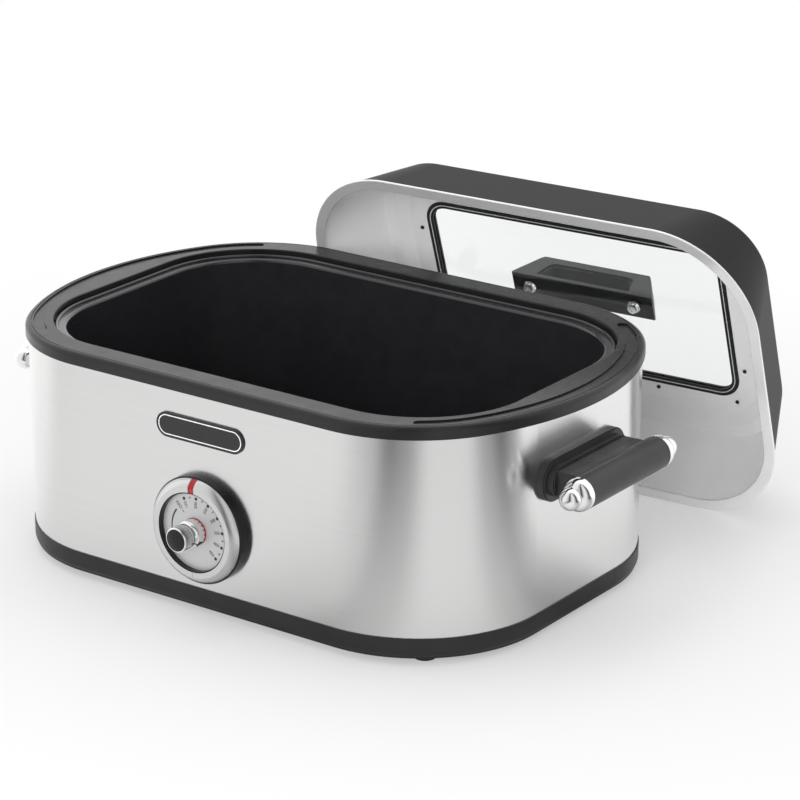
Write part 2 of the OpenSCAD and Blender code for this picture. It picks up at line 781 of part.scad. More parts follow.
module handle() {
    color(charcoal) difference() {
        union() {
            end_plate(wrap_hw, flange_l, flange_h, flange_t - 1.2);
            end_plate(wrap_hw, flange_l - 2.4, flange_h - 2.4, flange_t);
            end_plate(wrap_hw, flange_l - 11, flange_h - 9.5, flange_t + step_t - 1);
            end_plate(wrap_hw, flange_l - 13, flange_h - 11.5, flange_t + step_t);
            translate([wrap_hw, -stem_w / 2, grip_z - stem_t / 2]) cube([grip_out, stem_w, stem_t]);
            translate([grip_x, grip_l / 2, grip_z]) disc(grip_r, grip_l);
        }
        // ribs along the stem and the top of the grip
        for (s = [-1, 1], k = [0 : 3])
            translate([wrap_hw + flange_t + step_t + 1.2 + k * 2.6, stem_w / 2 + 1, grip_z + s * (stem_t / 2 + 0.3)])
                disc(0.9, stem_w + 2);
        for (s = [-1, 1], a = [58, 76])
            translate([grip_x - (grip_r + 0.3) * cos(a), stem_w * 0.42, grip_z + s * (grip_r + 0.3) * sin(a)])
                disc(0.7, stem_w * 0.84);
        for (y = handle_screw_y()) translate([wrap_hw - 1, y, grip_z]) rotate([0, 90, 0])
            cylinder(r = screw_r + run, h = bore_deep + 1);
        for (s = [-1, 1]) translate([grip_x, s * (grip_l / 2 - 5) + 6, grip_z])
            disc(spigot_r + run, 12);
    }
}
spigot_r = 6;
cap_round = 9.5;                                // round of the cap's shoulder

module handle_right() { handle(); }
module handle_left() { rotate([0, 0, 180]) handle(); }

// Chrome cap: a collar, a domed shoulder and a ball
module end_cap() {
    color(chrome) translate([grip_x, -grip_l / 2, grip_z]) rotate([90, 0, 0]) rotate_extrude() {
        square([grip_r - 0.1, 3.01]);
        square([grip_r - 0.1 - cap_round, 3 + cap_round]);
        intersection() {
            translate([grip_r - 0.1 - cap_round, 3]) circle(r = cap_round);
            translate([0, 3]) square([grip_r, grip_r]);
        }
        intersection() {
            translate([0, grip_r + 0.6]) circle(r = ball_r);
            translate([0, 5]) square([ball_r, 2 * ball_r + 9]);
        }
        translate([0, -9]) square([spigot_r, 10]);
    }
}

module end_cap_right_front() { end_cap(); }
module end_cap_left_back() { rotate([0, 0, 180]) end_cap(); }
module end_cap_right_back() { translate([0, 0, 0]) mirror([0, 1, 0]) end_cap(); }
module end_cap_left_front() { mirror([1, 0, 0]) end_cap(); }

module handle_screws() {
    color(silver) for (y = handle_screw_y()) translate([wrap_hw - wrap_t, y, grip_z]) rotate([0, 90, 0]) {
        translate([0, 0, -2.2]) cylinder(r = screw_r * 2, h = 2.2);
        translate([0, 0, -0.5]) cylinder(r = screw_r, h = bore_deep - 1);
    }
}

module handle_screws_right() { handle_screws(); }
module handle_screws_left() { rotate([0, 0, 180]) handle_screws(); }

// ---- cord inlet at the back ------------------------------------------------------------------------
gland_x = -146;
gland_z = 39;
gland_r = 7;
gland_bore = 3.8;
gland_nose = 12;

// a shank through the sheet, a flange outside it and a nose that grips the cord
module cord_gland() {
    color(black) translate([gland_x, wrap_hd, gland_z]) difference() {
        union() {
            translate([0, 3.4, 0]) disc(gland_r + 2.6, 3.4);
            translate([0, 0.5, 0]) disc(gland_r, wrap_t + 5);
            translate([0, gland_nose, 0]) disc(gland_r - 1.2, gland_nose);
        }
        translate([0, gland_nose + 1, 0]) disc(gland_bore, 20);
        translate([0, 2, 0]) disc(gland_bore + 0.8, 12);
    }
}

// ---- pan --------------------------------------------------------------------------------------------
module roasting_pan() {
    lip = 3;
    bead_u = mouth_r - pan_gap - bead_r;
    wall_u = mouth_r - pan_in;                  // inner face of the wall, under the lip
    z_lip = z_pan + pan_t - lip;
    z_base = z_pan - pan_depth;                 // underside of the pan
    rise = z_lip - z_base - pan_round;
    foot_u = wall_u + pan_t - rise * tan(pan_draft);   // outer face at the foot of the wall
    color(black) {
        round_ring(mouth_hw, mouth_hd, mouth_r) {
            translate([bead_u, z_pan + bead_r]) circle(r = bead_r);
            translate([wall_u + lip, z_pan]) square([bead_u - wall_u - lip, pan_t]);
            intersection() {
                difference() {
                    translate([wall_u + lip, z_lip]) circle(r = lip);
                    translate([wall_u + lip, z_lip]) circle(r = lip - pan_t);
                }
                translate([wall_u, z_lip]) square(lip);
            }
            polygon([[wall_u, z_lip + 0.05], [wall_u + pan_t, z_lip + 0.05],
                     [foot_u, z_base + pan_round], [foot_u - pan_t, z_base + pan_round]]);
            quarter(foot_u - pan_round, z_base + pan_round, pan_round, pan_t);
        }
        round_slab(m_cx + foot_u - pan_round, m_cy + foot_u - pan_round,
                   foot_u - pan_round, z_base, z_base + pan_t);
    }
}

// ---- lid, drawn open side down on z = 0, then stood up behind the body ---------------------------------
module stood() { translate([lid_x, rest_y, rest_z]) rotate([-lid_tilt, 0, yaw]) children(); }

// Section of a domed skin: sloped wall and round shoulder, drawn in by d from the outside
module skin(d) {
    lean_in = dome_lean / dome_h;
    a = atan(lean_in);
    cu = dome_u;
    cz = dome_h - dome_round;
    ro = dome_round - d;
    ri = ro - skin_t;
    z0 = lid_rim_t;
    // wall
    polygon([[cu + ri / cos(a) + lean_in * (cz - z0), z0],
             [cu + ro / cos(a) + lean_in * (cz - z0), z0],
             [cu + ro * cos(a), cz + ro * sin(a)], [cu + ri * cos(a), cz + ri * sin(a)]]);
    // shoulder
    intersection() {
        difference() {
            translate([cu, cz]) circle(r = ro);
            translate([cu, cz]) circle(r = ri);
        }
        // a degree past the tangent points, so that the pieces share some metal
        polygon([[cu - 0.2, cz - 0.1], [cu + 2 * ro * cos(a - 2), cz + 2 * ro * sin(a - 2)],
                 [cu + 2 * ro, cz + 2 * ro], [cu - 0.2, cz + 2 * ro]]);
    }
}

dome_u = lid_r - 0.6 - dome_lean / dome_h * (dome_h - dome_round)
       - dome_round / cos(atan(dome_lean / dome_h));
l_cx = lid_hw - lid_r;
l_cy = lid_hd - lid_r;
dish_w = win_hw + gasket_w + 1;                 // outline of the dish round the window
dish_d = win_hd + gasket_w + 1;
dish_r = window_r + gasket_w + 1;

module lid_shell() {
    color(black) stood() {
        round_ring(lid_hw, lid_hd, lid_r) skin(0);
        difference() {
            round_slab(l_cx + dome_u, l_cy + dome_u, dome_u, dome_h - skin_t, dome_h);
            round_slab(dish_w - skin_t, dish_d - skin_t, dish_r - skin_t, dome_h - 5, dome_h + 1);
            vent_slot();
        }
        round_ring(dish_w, dish_d, dish_r) {
            translate([dish_r - skin_t, dome_h - dish_h]) square([skin_t, dish_h - 0.1]);
            translate([dish_r - gasket_w, dome_h - dish_h]) square([gasket_w, skin_t]);
        }
    }
}

module lid_liner() {
    in_u = dome_u;
    color(steel) stood() {
        difference() {
            union() {
                round_ring(lid_hw, lid_hd, lid_r) liner_wall();
                round_slab(l_cx + in_u - liner_step + 0.2, l_cy + in_u - liner_step + 0.2,
                           in_u - liner_step + 0.2, z_liner, z_liner + skin_t);
            }
            round_slab(win_hw + gasket_w, win_hd + gasket_w, window_r + gasket_w, z_liner - 2, z_liner + 3);
            at_rivets() translate([0, 0, z_liner - 2]) cylinder(r = rivet_r + run, h = 5);
            vent_slot();
        }
    }
}

// Steam slot at one end of the lid, through liner and shell
module vent_slot() {
    translate([-(l_cx + dome_u - liner_step + step_run / 2), vent_v, z_liner - 8])
        translate([-vent_l / 2, -1.2, 0]) cube([vent_l, 2.4, 30]);
}
vent_l = 8;
vent_v = 5;
liner_step = 13;                                // from the shoulder's centre in to the flat
step_h = 5.8;                                   // drop of the sloped border round the flat
step_run = 12.1;                                // width of that border
rivet_r = 1;

// Section of the liner: sloped wall against the shell, a ledge, a sloped border, then the flat
module liner_wall() {
    lean_in = dome_lean / dome_h;
    a = atan(lean_in);
    d = skin_t + seam;
    cz = dome_h - dome_round;
    zt = z_liner - step_h;                      // lower step
    wall_at = dome_u + (dome_round - d) / cos(a);
    // wall up to the lower step
    polygon([[wall_at - skin_t / cos(a) + lean_in * (cz - lid_rim_t), lid_rim_t],
             [wall_at + lean_in * (cz - lid_rim_t), lid_rim_t],
             [wall_at + lean_in * (cz - zt - skin_t), zt + skin_t],
             [wall_at - skin_t / cos(a) + lean_in * (cz - zt - skin_t), zt + skin_t]]);
    // ledge inside the wall, then the sloped border up to the flat
    x0 = dome_u - liner_step;
    translate([x0 + step_run - 0.4, zt])
        square([wall_at + lean_in * (cz - zt) - skin_t / 2 - x0 - step_run + 0.4, skin_t]);
    polygon([[x0, z_liner], [x0 + step_run, zt], [x0 + step_run, zt + skin_t * 1.1],
             [x0, z_liner + skin_t * 1.1]]);
    translate([x0 - 0.5, z_liner]) square([0.7, skin_t]);
}

module lid_rim() {
    e = edge_r;
    color(silver) stood() round_ring(lid_hw, lid_hd, lid_r) {
        translate([lid_r - e, e]) circle(r = e);
        translate([lid_r - lid_rim_w + e, e]) circle(r = e);
        translate([lid_r - lid_rim_w + e, 0]) square([lid_rim_w - 2 * e, 2 * e]);
    }
}

module window_glass() {
    color([0.75, 0.8, 0.82, 0.4]) stood() difference() {
        round_slab(win_hw + glass_lap, win_hd + glass_lap, window_r + glass_lap, z_glass, z_outer);
        for (s = [-1, 1]) translate([s * pull_screws / 2, 0, z_glass - 1])
            cylinder(r = lid_screw_r + 0.4, h = glass_t + 2);
    }
}

// Channel section that grips the edge of the glass
module window_gasket() {
    lap = window_r + glass_lap + 0.1;
    out = window_r + gasket_w - 0.2;
    color(black) stood() round_ring(win_hw, win_hd, window_r) {
        translate([window_r, z_glass - 0.1 - gasket_t]) square([out - window_r, gasket_t]);
        translate([window_r, z_outer + 0.1]) square([out - window_r, gasket_t]);
        translate([lap, z_glass - 0.1 - gasket_t])
            square([out - lap, glass_t + 0.2 + 2 * gasket_t]);
    }
}

module at_rivets() {
    for (sx = [-1, 1], sy = [-1, 1]) {
        translate([sx * (win_hw + gasket_w + rivet_end), sy * (win_hd - rivet_down), 0]) children();
        translate([sx * (win_hw + 2), sy * (win_hd + gasket_w + rivet_side - 1), 0]) children();
        translate([sx * (win_hw - rivet_along), sy * (win_hd + gasket_w + rivet_side), 0]) children();
    }
}
rivet_end = 7;                                  // rivets from the gasket's edge, at its ends
rivet_side = 4.5;                               // and at its long sides
rivet_down = 26;                                // end rivets in from the window's corner
rivet_along = 78;                               // side rivets in from the window's corner

module window_rivets() {
    color(black) stood() at_rivets() {
        translate([0, 0, z_liner - 1]) cylinder(r = rivet_r + 0.8, h = 1);
        translate([0, 0, z_liner - 0.5]) cylinder(r = rivet_r, h = 2.4);
        translate([0, 0, z_liner + skin_t]) cylinder(r = rivet_r + 0.5, h = 1);
    }
}

lid_screw_r = 2.4;
screw_bite = 11;                                // screws past the glass, into the handle
pull_base = 4;                                  // solid strap under the finger opening
pull_round = 15;                                // round of its far corners
gap_round = 7;                                  // round of the opening's far corners

// Side view of the lid handle: foot, raked ends and round top corners
module pull_outline(inset) {
    hull() {
        translate([-pull_l / 2 + inset, inset]) square([pull_l - 2 * inset, 2]);
        for (s = [-1, 1]) translate([s * (pull_top_l / 2 - pull_round), pull_h - pull_round - inset])
            circle(r = pull_round, $fn = 64);
    }
}

// The finger opening, grown by out and cut l deep back from y
module pull_opening(out, l, y) {
    translate([0, y, 0]) rotate([90, 0, 0]) linear_extrude(l) hull() {
        translate([-pull_gap_l / 2 - 3 - out, pull_base]) square([pull_gap_l + 6 + 2 * out, 1]);
        for (s = [-1, 1]) translate([s * (pull_gap_l / 2 - gap_round), pull_base + pull_gap_h - gap_round])
            circle(r = gap_round + out, $fn = 48);
    }
}

module lid_handle() {
    color(charcoal) stood() translate([0, 0, z_outer]) difference() {
        intersection() {
            translate([0, pull_w / 2, 0]) rotate([90, 0, 0]) linear_extrude(pull_w) pull_outline(0);
            // long edges eased along the top
            translate([-pull_l / 2 - 1, 0, 0]) rotate([90, 0, 90]) linear_extrude(pull_l + 2)
                polygon([[-pull_w / 2, 0], [pull_w / 2, 0], [pull_w / 2, pull_h - 3],
                         [pull_w / 2 - 3, pull_h], [-pull_w / 2 + 3, pull_h], [-pull_w / 2, pull_h - 3]]);
        }
        // finger opening, right through
        pull_opening(0, pull_w + 2, pull_w / 2 + 1);
        // a shallow ledge round the opening on both sides
        for (s = [-1, 1]) pull_opening(2.2, 3, s * (pull_w / 2 - 0.5) + 1.5);
        for (s = [-1, 1]) translate([s * pull_screws / 2, 0, -1])
            cylinder(r = lid_screw_r + run, h = 15);
    }
}

module lid_washers() {
    color(chrome) stood() for (s = [-1, 1]) translate([s * pull_screws / 2, 0, z_glass - 1.6])
        difference() {
            cylinder(r1 = washer_r - 1.2, r2 = washer_r, h = 1.6);
            translate([0, 0, -1]) cylinder(r = lid_screw_r + 0.2, h = 4);
        }
}

module lid_screws() {
    color(chrome) stood() for (s = [-1, 1]) translate([s * pull_screws / 2, 0, 0]) {
        difference() {
            translate([0, 0, z_glass - 4]) cylinder(r = washer_r - 2, h = 2.4);
            for (a = [0, 90]) translate([0, 0, z_glass - 4]) rotate([0, 0, a])
                cube([4.6, 1, 2], center = true);
        }
        translate([0, 0, z_glass - 2]) cylinder(r = lid_screw_r, h = 2 + glass_t + screw_bite);
    }
}

steel_wrap();
base_tray();
foot(-foot_x, -foot_y);  // foot_front_left
foot(foot_x, -foot_y);  // foot_front_right
foot(-foot_x, foot_y);  // foot_back_left
foot(foot_x, foot_y);  // foot_back_right
tie_screws();
rim_collar();
heating_well();
heating_element();
element_clips();
heat_shield();
thermostat();
thermostat_bracket();
thermostat_nut();
dial_housing();
dial_plate();
dial_trim();
dial_ring();
indicator_lens();
badge();
handle_right();
handle_left();
end_cap_right_front();
end_cap_right_back();
end_cap_left_front();
end_cap_left_back();
handle_screws_right();
handle_screws_left();
cord_gland();
knob();
knob_cap();
knob_foot_ring();
knob_shaft();
roasting_pan();
lid_shell();
lid_liner();
lid_rim();
window_glass();
window_gasket();
window_rivets();
lid_handle();
lid_washers();
lid_screws();
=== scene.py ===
from math import radians, sin, cos, pi

import bmesh
import bpy
from mathutils import Matrix, Vector


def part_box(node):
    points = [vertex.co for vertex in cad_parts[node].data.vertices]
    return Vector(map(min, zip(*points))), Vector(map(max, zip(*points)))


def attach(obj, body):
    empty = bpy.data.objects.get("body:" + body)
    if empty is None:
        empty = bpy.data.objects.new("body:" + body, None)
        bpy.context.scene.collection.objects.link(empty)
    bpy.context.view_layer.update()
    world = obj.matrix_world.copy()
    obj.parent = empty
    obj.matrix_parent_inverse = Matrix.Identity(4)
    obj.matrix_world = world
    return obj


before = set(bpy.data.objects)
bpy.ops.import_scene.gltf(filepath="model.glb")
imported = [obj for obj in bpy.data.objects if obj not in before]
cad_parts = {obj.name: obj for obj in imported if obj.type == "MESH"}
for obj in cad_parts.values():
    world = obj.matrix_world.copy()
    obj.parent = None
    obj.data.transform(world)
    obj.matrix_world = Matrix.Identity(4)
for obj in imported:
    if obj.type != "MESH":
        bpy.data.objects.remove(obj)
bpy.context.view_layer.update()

# ---- Counter and light ---------------------------------------------------------------------
# A pale paper counter runs out into a white studio. The eye sees that room as plain white.
# Surfaces are lit by it and mirror it at a tone that goes round with the bearing: two narrow
# dark screens, before the roaster and to its right, give the steel its upright bands.

counter_half = 14.0
counter_drop = 0.0002                            # clear of the feet
counter_colour = (0.74, 0.74, 0.74, 1)
near_glow, fade_from, fade_to = 0.38, 0.3, 0.95  # the counter turns into the room outwards
# How bright the room is at each bearing, in turns from due left by way of the front.
room_tones = ((0.0, 1.2), (0.05, 1.15), (0.1, 0.9), (0.15, 0.93), (0.21, 0.93),
              (0.285, 0.5), (0.313, 0.02), (0.342, 0.25), (0.385, 0.85), (0.44, 0.85),
              (0.48, 0.35), (0.507, 0.02), (0.53, 0.25), (0.56, 1.15), (0.8, 1.2), (1.0, 1.2))


def maths(tree, kind, first, second):
    """One step of arithmetic on two sockets."""
    step = tree.nodes.new("ShaderNodeMath")
    step.operation = kind
    tree.links.new(first, step.inputs[0])
    tree.links.new(second, step.inputs[1])
    return step.outputs["Value"]


def screened(tree, vector):
    """The room's tone in a vector's direction, white to the eye, and which rays it's shown to."""
    split = tree.nodes.new("ShaderNodeSeparateXYZ")
    tree.links.new(vector, split.inputs["Vector"])
    bearing = maths(tree, "ARCTAN2", split.outputs["Y"], split.outputs["X"])
    turns = tree.nodes.new("ShaderNodeMath")
    turns.operation = "MULTIPLY_ADD"
    turns.inputs[1].default_value, turns.inputs[2].default_value = 0.5 / pi, 0.5
    tree.links.new(bearing, turns.inputs[0])
    screens = tree.nodes.new("ShaderNodeValToRGB")
    screens.color_ramp.interpolation = "EASE"
    stops = screens.color_ramp.elements
    stops.remove(stops[1])
    stops[0].position, stops[0].color = 0, (*[room_tones[0][1]] * 3, 1)
    for at, tone in room_tones[1:]:
        stops.new(at).color = (tone, tone, tone, 1)
    tree.links.new(turns.outputs["Value"], screens.inputs["Fac"])
    path = tree.nodes.new("ShaderNodeLightPath").outputs
    seen = maths(tree, "MAXIMUM", path["Is Camera Ray"], path["Is Transmission Ray"])
    white = tree.nodes.new("ShaderNodeMix")
    white.data_type = "RGBA"
    white.inputs["B"].default_value = (1, 1, 1, 1)
    tree.links.new(seen, white.inputs["Factor"])
    tree.links.new(screens.outputs["Color"], white.inputs["A"])
    return white.outputs["Result"], maths(tree, "MAXIMUM", seen, path["Is Glossy Ray"])


bpy.ops.object.select_all(action="DESELECT")
bpy.ops.mesh.primitive_plane_add(size=2 * counter_half, location=(0, 0, -counter_drop))
counter = bpy.context.object
counter.name = "counter"
bpy.ops.object.transform_apply(location=True, rotation=False, scale=False)
paper = bpy.data.materials.new("counter_paper")
paper.use_nodes = True
tree = paper.node_tree
matt = tree.nodes["Principled BSDF"]
matt.inputs["Base Color"].default_value = counter_colour
matt.inputs["Roughness"].default_value = 0.6
matt.inputs["Specular IOR Level"].default_value = 0.1
middle = tree.nodes.new("ShaderNodeTexCoord").outputs["Object"]
tone, shown = screened(tree, middle)
glow = tree.nodes.new("ShaderNodeEmission")
tree.links.new(tone, glow.inputs["Color"])
away = tree.nodes.new("ShaderNodeVectorMath")
away.operation = "LENGTH"
tree.links.new(middle, away.inputs[0])
fading = tree.nodes.new("ShaderNodeMapRange")
fading.interpolation_type = "SMOOTHSTEP"
fading.inputs["From Min"].default_value = fade_from
fading.inputs["From Max"].default_value = fade_to
fading.inputs["To Min"].default_value = near_glow
tree.links.new(away.outputs["Value"], fading.inputs["Value"])
blend = tree.nodes.new("ShaderNodeMixShader")
tree.links.new(maths(tree, "MULTIPLY", fading.outputs["Result"], shown), blend.inputs["Fac"])
tree.links.new(matt.outputs["BSDF"], blend.inputs[1])
tree.links.new(glow.outputs["Emission"], blend.inputs[2])
tree.links.new(blend.outputs["Shader"], tree.nodes["Material Output"].inputs["Surface"])
counter.data.materials.append(paper)


def soft_lamp(name, place, target, width, height, watts):
    """A large soft lamp that points at a target and isn't itself mirrored in the steel."""
    data = bpy.data.lights.new(name, "AREA")
    data.shape = "RECTANGLE"
    data.size, data.size_y, data.energy = width, height, watts
    lamp = bpy.data.objects.new(name, data)
    lamp.location = place
    lamp.rotation_euler = (Vector(target) - Vector(place)).to_track_quat("-Z", "Y").to_euler()
    lamp.visible_glossy = False
    bpy.context.scene.collection.objects.link(lamp)


soft_lamp("lamp_overhead", place=(-0.3, 0.2, 2.4), target=(0, 0, 0),
          width=2.0, height=1.6, watts=14)
soft_lamp("lamp_front", place=(1.0, -2.3, 1.0), target=(0.1, 0.25, 0.15),
          width=1.5, height=1.0, watts=40)

room = bpy.data.worlds.new("room")
bpy.context.scene.world = room
room.use_nodes = True
tree = room.node_tree
tone = screened(tree, tree.nodes.new("ShaderNodeTexCoord").outputs["Generated"])[0]
tree.links.new(tone, tree.nodes["Background"].inputs["Color"])

# ---- Camera ----------------------------------------------------------------------------------
# The photograph's own view, with its turn about the upright and its drop below the level
# solved from the rim and the base. It is a long lens, so the sides hardly draw together.

camera_place = (1.5588, -2.0515, 1.0655)
camera_turn, camera_drop = radians(35.965), radians(19.841)
lens = bpy.data.cameras.new("camera")
lens.lens, lens.sensor_width = 144.93, 36.0
lens.clip_end = 60
camera = bpy.data.objects.new("camera", lens)
back = Vector((sin(camera_turn) * cos(camera_drop), -cos(camera_turn) * cos(camera_drop),
               sin(camera_drop)))
right = Vector((cos(camera_turn), sin(camera_turn), 0))
up = back.cross(right)
camera.matrix_world = Matrix((
    (right.x, up.x, back.x, camera_place[0]),
    (right.y, up.y, back.y, camera_place[1]),
    (right.z, up.z, back.z, camera_place[2]),
    (0, 0, 0, 1)))
bpy.context.scene.collection.objects.link(camera)
bpy.context.scene.camera = camera
bpy.context.scene.view_settings.view_transform = "Standard"

# ---- Base tray and feet ----------------------------------------------------------------------
# The tray that closes the roaster underneath is moulded in black heat-proof plastic with
# a faint grain, and stands on four rubber feet pushed into it from below.


def finish(name, colour, rough, metal=0.0, gloss=0.5):
    """A new material, with its shader and the object's own coordinates to hang detail on."""
    made = bpy.data.materials.new(name)
    made.use_nodes = True
    shader = made.node_tree.nodes["Principled BSDF"]
    shader.inputs["Base Color"].default_value = (*colour, 1)
    shader.inputs["Roughness"].default_value = rough
    shader.inputs["Specular IOR Level"].default_value = gloss
    shader.inputs["Metallic"].default_value = metal
    place = made.node_tree.nodes.new("ShaderNodeTexCoord").outputs["Object"]
    return made, shader, place


def cloudy(made, place, scale, detail=3.0):
    """Noise from 0 to 1."""
    noise = made.node_tree.nodes.new("ShaderNodeTexNoise")
    noise.inputs["Scale"].default_value = scale
    noise.inputs["Detail"].default_value = detail
    made.node_tree.links.new(place, noise.inputs["Vector"])
    return noise.outputs["Fac"]


def spread(made, value, low, high, socket):
    """Carry a noise to a socket, over a range of values."""
    ranged = made.node_tree.nodes.new("ShaderNodeMapRange")
    ranged.inputs["From Min"].default_value = 0.25
    ranged.inputs["From Max"].default_value = 0.75
    ranged.inputs["To Min"].default_value = low
    ranged.inputs["To Max"].default_value = high
    made.node_tree.links.new(value, ranged.inputs["Value"])
    made.node_tree.links.new(ranged.outputs["Result"], socket)


def tinted(made, shader, value, dark, light):
    """Let a noise shift the colour between two near tones."""
    ramp = made.node_tree.nodes.new("ShaderNodeValToRGB")
    ramp.color_ramp.elements[0].position, ramp.color_ramp.elements[1].position = 0.3, 0.7
    ramp.color_ramp.elements[0].color = (*dark, 1)
    ramp.color_ramp.elements[1].color = (*light, 1)
    made.node_tree.links.new(value, ramp.inputs["Fac"])
    made.node_tree.links.new(ramp.outputs["Color"], shader.inputs["Base Color"])


def grained(made, shader, value, depth, strength=0.4):
    """Raise a surface by a noise, with its depth in metres."""
    bump = made.node_tree.nodes.new("ShaderNodeBump")
    bump.inputs["Distance"].default_value = depth
    bump.inputs["Strength"].default_value = strength
    made.node_tree.links.new(value, bump.inputs["Height"])
    made.node_tree.links.new(bump.outputs["Normal"], shader.inputs["Normal"])


def moulded(name, dark, light, rough, gloss=0.3):
    """Moulded plastic: two near tones, an uneven sheen and a fine grain."""
    made, shader, place = finish(name, light, rough, gloss=gloss)
    tinted(made, shader, cloudy(made, place, 35), dark, light)
    spread(made, cloudy(made, place, 60), rough - 0.05, rough + 0.05, shader.inputs["Roughness"])
    grained(made, shader, cloudy(made, place, 1400, 2.0), depth=0.00006)
    return made


def dress(node, made):
    """Give a piece of the frame its finish."""
    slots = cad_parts[node].data.materials
    slots.clear()
    slots.append(made)


band_black = moulded("band_black", (0.014, 0.014, 0.015), (0.019, 0.019, 0.02), rough=0.42)
dress("base_tray", band_black)

foot_rubber, shader, place = finish("foot_rubber", (0.02, 0.02, 0.02), rough=0.8)
grained(foot_rubber, shader, cloudy(foot_rubber, place, 900), depth=0.0001)
for corner in ("front_left", "front_right", "back_left", "back_right"):
    dress("foot_" + corner, foot_rubber)

# ---- Steel wrap ------------------------------------------------------------------------------
# One sheet of 0.8 mm stainless steel goes round the body, brushed lengthwise, so that it
# smears what it mirrors upwards and downwards. The rim and the tray hold its edges.


def stretched(made, place, scale):
    """The coordinates, drawn out by a different scale along each axis."""
    mapping = made.node_tree.nodes.new("ShaderNodeMapping")
    mapping.inputs["Scale"].default_value = scale
    made.node_tree.links.new(place, mapping.inputs["Vector"])
    return mapping.outputs["Vector"]


def brushed(name, tone, rough, scale, metal=1.0, anisotropy=0, turn=0):
    """Brushed metal: fine lines in the sheen and in the surface, along one direction."""
    made, shader, place = finish(name, tone, rough, metal)
    lines = cloudy(made, stretched(made, place, scale), 1.0, 4.0)
    tinted(made, shader, lines, [0.97 * c for c in tone], [min(1, 1.01 * c) for c in tone])
    spread(made, lines, rough - 0.02, rough + 0.02, shader.inputs["Roughness"])
    grained(made, shader, lines, depth=0.000012, strength=0.06)
    if anisotropy:
        shader.inputs["Anisotropic"].default_value = anisotropy
        shader.inputs["Anisotropic Rotation"].default_value = turn
        tangent = made.node_tree.nodes.new("ShaderNodeTangent")
        tangent.direction_type, tangent.axis = "RADIAL", "Z"
        made.node_tree.links.new(tangent.outputs["Tangent"], shader.inputs["Tangent"])
    return made


wrap_steel = brushed("wrap_steel", (0.755, 0.753, 0.75), rough=0.21, scale=(9, 9, 1600),
                     anisotropy=0.75, turn=0.25)
dress("steel_wrap", wrap_steel)

# ---- Rim -------------------------------------------------------------------------------------
# The dark grey rim caps the steel and frames the mouth: a moulding with a satin top, a
# crescent channel at each end, and bosses for the four screws that draw it down.

rim_satin = moulded("rim_satin", (0.0095, 0.0096, 0.01), (0.0125, 0.0126, 0.013),
                    rough=0.3, gloss=0.38)
dress("rim_collar", rim_satin)

# ---- Heating well, element and shield --------------------------------------------------------
# Behind the steel: a drawn well of aluminised sheet hung from the rim, a tubular element
# clipped round it and a foil shield, with zinc-plated screws and bracket. Only the inside
# of the well shows, once the pan is out.

well_sheet = brushed("well_sheet", (0.55, 0.55, 0.54), rough=0.38, scale=(40, 40, 40))
dress("heating_well", well_sheet)
element_scale, shader, place = finish("element_scale", (0.07, 0.065, 0.06), rough=0.55,
                                      metal=0.8)
tinted(element_scale, shader, cloudy(element_scale, place, 80),
       (0.05, 0.045, 0.04), (0.11, 0.1, 0.09))
dress("heating_element", element_scale)
zinc = brushed("zinc_plate", (0.6, 0.6, 0.57), rough=0.34, scale=(300, 300, 60))
for node in ("element_clips", "thermostat_bracket", "thermostat_nut", "tie_screws",
             "handle_screws_right", "handle_screws_left"):
    dress(node, zinc)
foil = brushed("shield_foil", (0.75, 0.75, 0.75), rough=0.22, scale=(60, 60, 900))
dress("heat_shield", foil)
steatite = moulded("thermostat_cream", (0.62, 0.59, 0.5), (0.7, 0.67, 0.58), rough=0.55)
dress("thermostat", steatite)

# ---- Temperature dial ------------------------------------------------------------------------
# A black housing on the steel holds a turned ring with a rolled bevel, cut at the quarters,
# and a satin plate sunk inside it, with its scale printed in black. A red lens crosses the
# ring at twelve o'clock.

trim_black = moulded("trim_black", (0.006, 0.006, 0.006), (0.009, 0.009, 0.009), rough=0.26)
dress("dial_housing", trim_black)
dress("dial_trim", trim_black)

ring_steel, shader, place = finish("ring_steel", (0.68, 0.68, 0.68), rough=0.26, metal=1.0)
dial_low, dial_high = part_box("dial_ring")
dial_centre = (dial_low + dial_high) / 2
dial_centre.z = dial_low.z + (dial_high.x - dial_low.x) / 2
centred = ring_steel.node_tree.nodes.new("ShaderNodeMapping")
centred.inputs["Location"].default_value = (0, 0, -dial_centre.z)
ring_steel.node_tree.links.new(place, centred.inputs["Vector"])
turning = ring_steel.node_tree.nodes.new("ShaderNodeTexWave")
turning.wave_type, turning.rings_direction = "RINGS", "Y"
turning.inputs["Scale"].default_value = 420
turning.inputs["Distortion"].default_value = 6
turning.inputs["Detail"].default_value = 3
ring_steel.node_tree.links.new(centred.outputs["Vector"], turning.inputs["Vector"])
grained(ring_steel, shader, turning.outputs["Fac"], depth=0.00001, strength=0.25)
spread(ring_steel, turning.outputs["Fac"], 0.22, 0.32, shader.inputs["Roughness"])
dress("dial_ring", ring_steel)

plate_silver, shader, place = finish("plate_silver", (0.54, 0.54, 0.54), rough=0.42, metal=0.5)
spread(plate_silver, cloudy(plate_silver, place, 700), 0.38, 0.5, shader.inputs["Roughness"])
dress("dial_plate", plate_silver)

mark_black, shader, place = finish("mark_black", (0.015, 0.015, 0.015), rough=0.5)
spread(mark_black, cloudy(mark_black, place, 900), 0.42, 0.58, shader.inputs["Roughness"])

